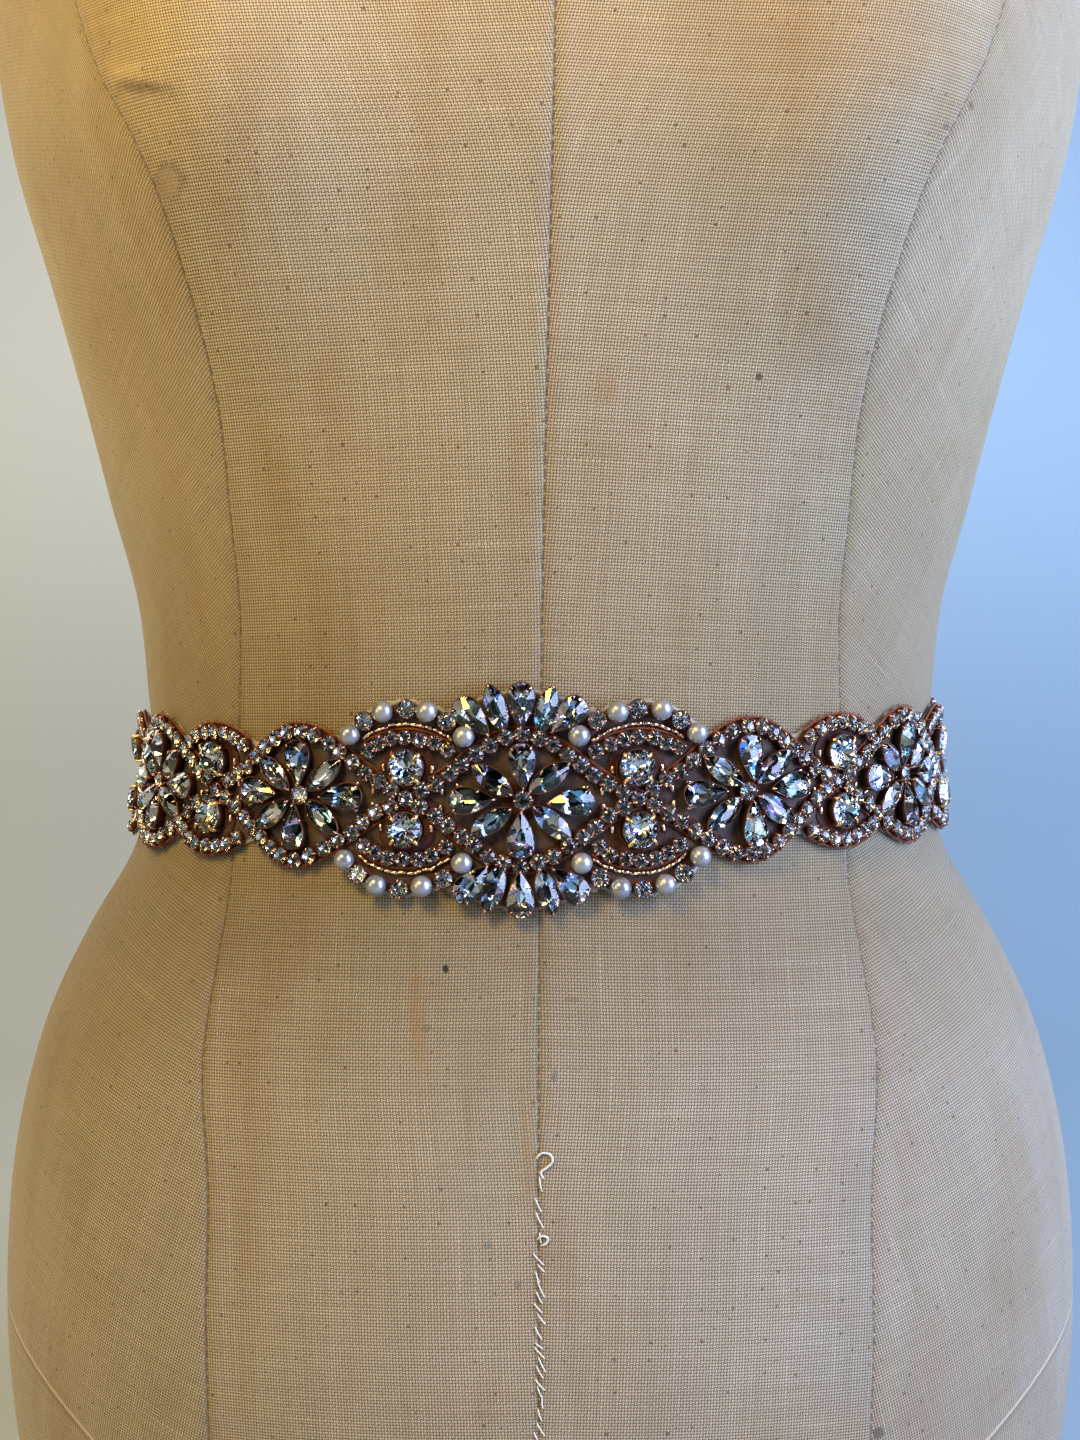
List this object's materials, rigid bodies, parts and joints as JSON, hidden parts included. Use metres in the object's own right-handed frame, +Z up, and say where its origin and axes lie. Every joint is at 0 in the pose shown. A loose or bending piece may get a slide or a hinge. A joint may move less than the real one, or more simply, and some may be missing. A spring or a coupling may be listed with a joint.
{
  "type": "jewelled sash belt on a dress form",
  "caption": "Jewelled organza sash belt with ribbon ends, closed round the waist of a limbless dress form that stands on its flat base.",
  "frame": {"origin": "on the dress form's flat base, at the middle of the part's overall width and depth", "axes": "+Z up along the form to its neck, -Y out of its front, +X to the right as seen from the front"},
  "size_m": [0.3416, 0.25, 0.72],
  "materials": {
    "linen_cover": "plain woven unbleached linen, aged and freckled",
    "organza": "sheer brown organza",
    "ribbon_satin": "plain champagne satin",
    "rose_gold": "polished rose gold plate",
    "crystal": "clear cut crystal with a foiled back",
    "pearl": "lustrous ivory pearl"
  },
  "bodies": {
    "root": {"dress_form": "linen_cover", "jewelled_band": "organza", "ribbon_left": "ribbon_satin", "ribbon_right": "ribbon_satin", "hook_lower": "rose_gold", "hook_upper": "rose_gold", "eye_lower": "rose_gold", "eye_upper": "rose_gold"}
  },
  "joints": []
}
